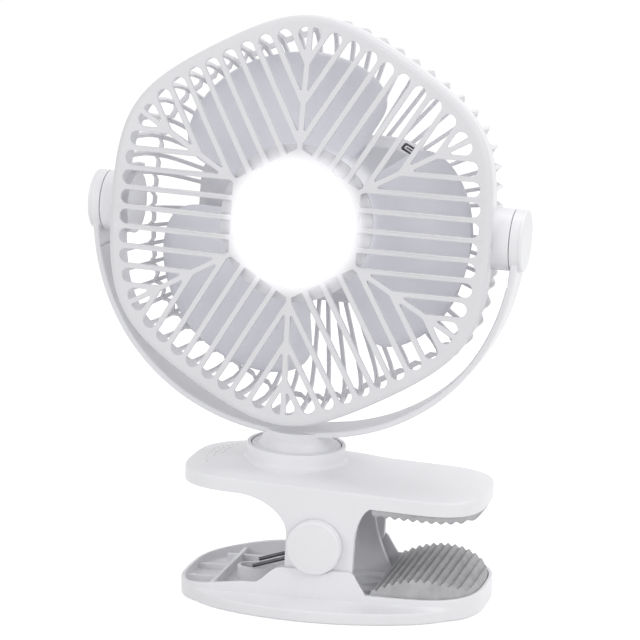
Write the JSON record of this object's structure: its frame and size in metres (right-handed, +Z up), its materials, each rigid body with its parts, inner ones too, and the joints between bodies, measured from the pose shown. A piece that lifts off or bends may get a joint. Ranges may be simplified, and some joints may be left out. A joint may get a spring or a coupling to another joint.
{
  "type": "clip fan",
  "caption": "Caged fan head with a lamp in its hub, tilting in a semicircular yoke that swivels on a sprung clip with ridged rubber pads.",
  "frame": {"origin": "on the underside of the lower jaw, straight below the jaw hinge", "axes": "+Z up, +X towards the gripping tips of the jaws, -Y the way the fan blows"},
  "size_m": [0.2008, 0.0958, 0.2648],
  "materials": {
    "white_plastic": "satin",
    "blade_plastic": "satin",
    "lamp_diffuser": "frosted, lit",
    "lamp_board": "matt",
    "button_plastic": "matt",
    "grey_rubber": "matt",
    "spring_steel": "oiled",
    "pin_steel": "plain"
  },
  "bodies": {
    "clip_base": {"lower_jaw": "white_plastic", "lower_pad": "grey_rubber", "torsion_spring": "spring_steel", "hinge_pin": "pin_steel"},
    "jaw": {"upper_jaw": "white_plastic", "upper_pad": "grey_rubber", "hinge_cap_front": "white_plastic", "hinge_cap_rear": "white_plastic"},
    "yoke": {"yoke": "white_plastic", "swivel_retainer": "pin_steel", "pivot_pin_left": "pin_steel", "pivot_pin_right": "pin_steel", "pivot_cap_left": "white_plastic", "pivot_cap_right": "white_plastic"},
    "head": {"front_grille": "white_plastic", "led_lens": "lamp_diffuser", "lamp_cup": "white_plastic", "led_board": "lamp_board", "rear_guard": "white_plastic", "rear_housing": "white_plastic", "back_cover": "white_plastic", "motor": "pin_steel"},
    "rotor": {"fan_rotor": "blade_plastic"},
    "speed_button": {"speed_button": "button_plastic"},
    "lamp_button": {"lamp_button": "button_plastic"}
  },
  "joints": [
    {"name": "jaw_hinge", "type": "hinge", "parent": "clip_base", "child": "jaw", "pos_m": [0, 0, 0.0307], "axis": [0, -1, 0], "range_deg": [0, 28], "stiffness_Nm_per_rad": 1.2, "springref_deg": -34.38, "deforming": ["torsion_spring"]},
    {"name": "yoke_swivel", "type": "hinge", "parent": "jaw", "child": "yoke", "pos_m": [-0.0175, 0, 0.06927], "axis": [0.0523, 0, 0.9986], "range_deg": [-180, 180]},
    {"name": "head_tilt", "type": "hinge", "parent": "yoke", "child": "head", "pos_m": [-0.01209, 0, 0.17253], "axis": [0.9986, 0, -0.0523], "range_deg": [-85, 95]},
    {"name": "fan_spin", "type": "hinge", "parent": "head", "child": "rotor", "pos_m": [-0.01209, 0, 0.17253], "axis": [0.0046, -0.9962, 0.087], "continuous": true},
    {"name": "speed_button_press", "type": "slide", "parent": "head", "child": "speed_button", "axis": [0.0046, -0.9962, 0.087], "range_m": [0, 0.0013], "stiffness_N_per_m": 300, "springref_m": -0.002},
    {"name": "lamp_button_press", "type": "slide", "parent": "head", "child": "lamp_button", "axis": [0.0046, -0.9962, 0.087], "range_m": [0, 0.0013], "stiffness_N_per_m": 300, "springref_m": -0.002}
  ]
}
